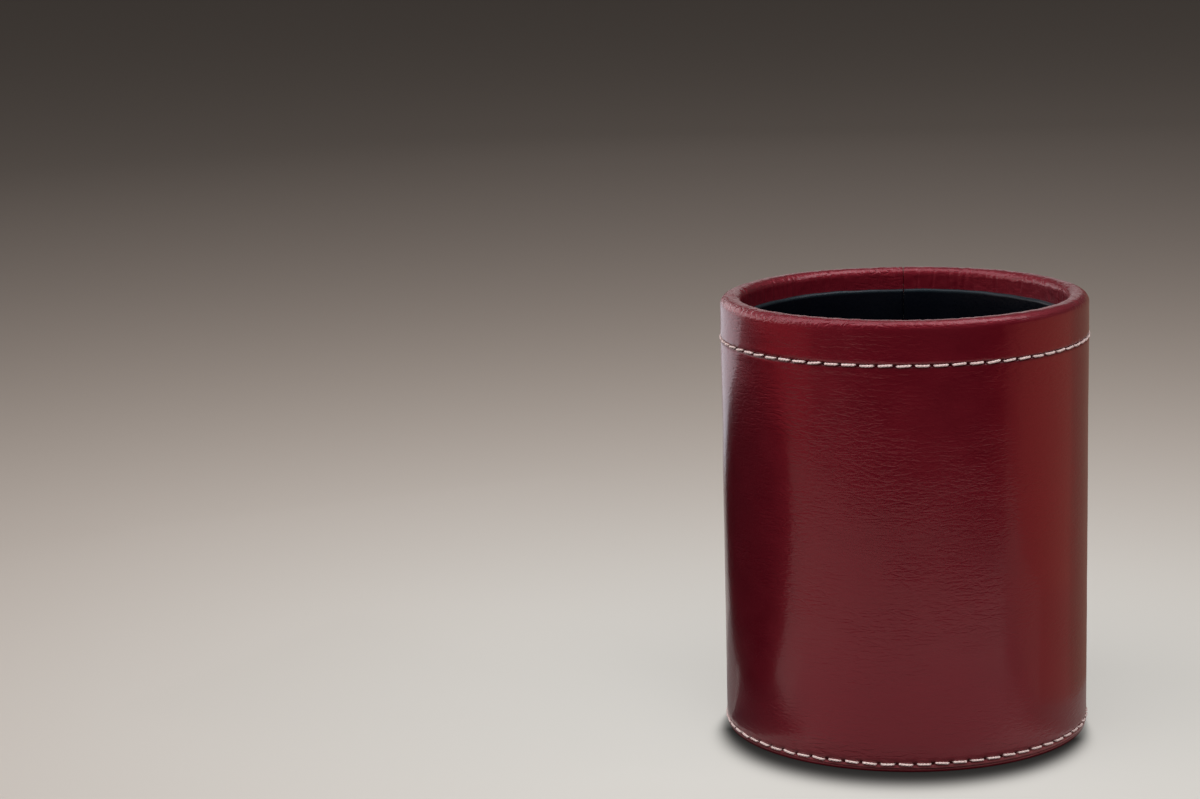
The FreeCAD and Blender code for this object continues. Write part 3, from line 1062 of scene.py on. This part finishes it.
CUP_SIDES = 48
NEIGHBOUR = ((-0.0714, -0.0122, mm(CUP_R)), -24)
CUP_DARK = rgb(0.005, 0.0006, 0.001)
TABLE_Z = 0.0005  # metres, just over the floor
PATCH_Z = 0.0006
CEILING_Z = 0.80
CEILING = [(-1.3, -0.24), (-0.62, -0.22), (0.15, -0.22), (1.05, -0.27),
           (1.05, 0.08), (0.15, 0.34), (-0.62, 0.38), (-1.3, 0.25)]
# Parts of the ceiling: name, which of its corners, and how bright
CEILING_PARTS = [("left", (0, 1, 6, 7), 1.9), ("middle", (1, 2, 5, 6), 1.5),
                 ("right", (2, 3, 4, 5), 3.0)]

FRONT_LINE = [(-0.405, -0.147), (-0.222, -0.284), (-0.085, -0.298),
              (0.10, -0.26), (0.223, -0.114), (0.25, -0.02)]
EDGE_LINE = [(0.150, -0.095), (0.120, -0.060)]
SIDE_LINE = [(0.120, -0.060), (0.069, -0.027), (0.063, 0.0)]
BACK_LINE = [(0.063, 0.0), (0.054, 0.022), (0.042, 0.042)]
LEFT_LINE = [(-0.29, 0.135), (-0.262, 0.172), (-0.112, 0.262)]
PALE = rgb(0.95, 0.97, 1.05)
# Upright bands round the set: name, foot, lowest and highest height in metres, and colour
FENCES = [
    ("red_far", [(-0.31, -0.20), (-0.38, -0.13), (-0.40, 0.02), (-0.33, 0.10)], TABLE_Z, 0.16,
     rgb(0.53, 0.05, 0.06)),
    ("dark_front", FRONT_LINE, TABLE_Z, 0.42, NO_LIGHT),
    ("warm_edge", EDGE_LINE, TABLE_Z, 0.035, rgb(0.45, 0.38, 0.33)),
    ("warm_edge_high", EDGE_LINE, 0.035, 0.103, rgb(0.34, 0.12, 0.10)),
    ("warm_right", SIDE_LINE[:2], TABLE_Z, 0.028, rgb(0.50, 0.33, 0.28)),
    ("warm_right_far", SIDE_LINE[1:], TABLE_Z, 0.028, rgb(0.42, 0.20, 0.16)),
    ("warm_right_high", SIDE_LINE, 0.028, 0.103, rgb(0.48, 0.21, 0.155)),
    ("warm_far", BACK_LINE, TABLE_Z, 0.103, rgb(0.25, 0.16, 0.12)),
]
PALE_FENCES = [
    ("pale_back", [(-0.30, 1.38), (0.25, 1.40)], 0.10, 0.60, rgb(0.66, 0.60, 0.60)),
    ("pale_left", [(-0.240, 0.185), (-0.112, 0.262)], TABLE_Z, 0.013, PALE),
    ("pale_left_high", LEFT_LINE, 0.013, 0.095, PALE),
    ("pale_rim", [(-0.30, 0.02), (-0.20, 0.13), (-0.108, 0.188)], 0.102, 0.20,
     rgb(1.55, 1.45, 1.50)),
]
# Patches of the table as the leather mirrors them: name, outline in metres, and colour
PATCHES = [
    # painted shadow: dark_floor, dim_floor and grey_floor stand for the shadow of the cup that lies
    # beside it, in reflections
    ("dark_floor", [(-0.085, -0.030), (-0.072, 0.016), (-0.149, 0.088), (-0.190, 0.002)], CUP_DARK),
    ("dim_floor", [(-0.040, -0.046), (-0.0435, -0.004), (-0.072, 0.016), (-0.085, -0.030)],
     rgb(0.06, 0.045, 0.050)),
    ("warm_floor", [(0.150, -0.095), (0.042, 0.042), (0.0425, 0.0), (0.041, -0.012),
                    (0.050, -0.050)], rgb(0.32, 0.275, 0.25)),
    ("grey_floor", [(-0.0435, -0.004), (-0.149, 0.088), (-0.075, 0.080), (-0.0425, 0.020)],
     rgb(0.27, 0.26, 0.25)),
    ("front_floor", [(-0.060, -0.035), (-0.035, -0.047), (0.0, -0.057), (0.035, -0.047),
                     (0.060, -0.035), (0.095, -0.065), (0.055, -0.105), (0.0, -0.12),
                     (-0.055, -0.105), (-0.095, -0.065)], rgb(0.52, 0.49, 0.47)),
]


WORLD_COLOUR = rgb(0.92, 0.86, 0.80)
WORLD_STRENGTH = 0.080


def studio_light():
    world = bpy.data.worlds.new("studio")
    bpy.context.scene.world = world
    world.use_nodes = True
    background = world.node_tree.nodes["Background"].inputs
    background["Color"].default_value = WORLD_COLOUR
    background["Strength"].default_value = WORLD_STRENGTH
    for name, place, size, power, reflected in LAMPS:
        softbox(name, place, size, power, reflected)


def reflections():
    """What stands round the cup and shows in its gloss alone."""
    ceiling = [(x, y, CEILING_Z) for x, y in CEILING]
    for name, face, level in CEILING_PARTS:
        glossy_shape("ceiling_" + name, ceiling, [face], rgb(level, level * 0.95, level * 1.02))
    glossy_cup("neighbour", *NEIGHBOUR, CUP_DARK)
    for fence in FENCES:
        glossy_fence(*fence)
    for patch in PATCHES:
        glossy_floor(*patch)
    for fence in PALE_FENCES:
        glossy_fence(*fence)


# The view: the cup's middle on its axis is seen from CAMERA_AWAY cup radii, CAMERA_UP degrees above
# the horizon, at the pixel MIDDLE_AT of the 1200 x 799 frame.
FRAME_W, FRAME_H = 1200, 799
SENSOR = 36.0
CAMERA_AWAY = 15.84
CAMERA_UP = 13.21
CAMERA_ROLL = 0.19
FOCAL_PIXELS = 2841
MIDDLE_AT = (904.5, 506.9)


def camera():
    data = bpy.data.cameras.new("camera")
    data.sensor_width = SENSOR
    data.lens = FOCAL_PIXELS / FRAME_W * data.sensor_width
    eye = bpy.data.objects.new("camera", data)
    up = math.radians(CAMERA_UP)
    away = mm(CUP_R) * CAMERA_AWAY
    middle = Vector((0, 0, mm(CUP_H) / 2))
    back = Vector((0, -math.cos(up), math.sin(up)))
    looking = (-back).to_track_quat("-Z", "Y").to_matrix()
    roll = Matrix.Rotation(math.radians(CAMERA_ROLL), 3, "Z")
    across = (MIDDLE_AT[0] - FRAME_W / 2) / FOCAL_PIXELS
    rise = (FRAME_H / 2 - MIDDLE_AT[1]) / FOCAL_PIXELS
    seen = Vector((across, rise, -1)).normalized()
    turn = Vector((0, 0, -1)).rotation_difference(seen).to_matrix()
    eye.matrix_world = (looking @ (turn @ roll).inverted()).to_4x4()
    eye.location = middle + back * away
    bpy.context.scene.collection.objects.link(eye)
    bpy.context.scene.camera = eye


# ------------------------ making it
STITCH_SEEDS = {"top": SEED + 60, "bottom": SEED + 61}


def dress(leather, thread, lining):
    """Makes the finished pieces, listed by the finish each has, and attaches each to the root body.
    """
    wrap = wrap_piece(leather)
    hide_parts("leather_wrap")
    pieces = {
        "burgundy_leather": [wrap, cover_piece(leather)],
        "sewing_thread": [
            stitch_piece("top_row", "top_stitches", "top", 1.0, STITCH_SEEDS["top"], thread),
            stitch_piece("bottom_row", "bottom_stitches", "bottom", -1.0, STITCH_SEEDS["bottom"],
                         thread),
        ],
        "black_lining": [lining_piece(lining), floor_piece(lining)],
    }
    for slot, made in pieces.items():
        for piece in made:
            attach(piece, "root")


def refinish(nodes, material):
    """Gives the CAD nodes that stay a procedural material."""
    for node in nodes:
        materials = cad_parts[node].data.materials
        materials.clear()
        materials.append(material)


def main():
    grey_board = board_material("grey_board", rgb(0.20, 0.18, 0.155), rgb(0.42, 0.385, 0.34))
    black_card = board_material("black_card", rgb(0.012, 0.012, 0.013), rgb(0.035, 0.034, 0.034))
    bobbin = bobbin_material("bobbin_thread")
    dress(leather_material("burgundy_leather"), thread_material("sewing_thread"),
          lining_material("black_lining"))
    refinish(["core_tube", "base_board"], grey_board)
    refinish(["lining_card", "floor_card"], black_card)
    refinish(["top_bobbin_thread", "bottom_bobbin_thread"], bobbin)
    stage_floor()
    studio_light()
    reflections()
    camera()
    bpy.context.scene.view_settings.view_transform = "Standard"


main()
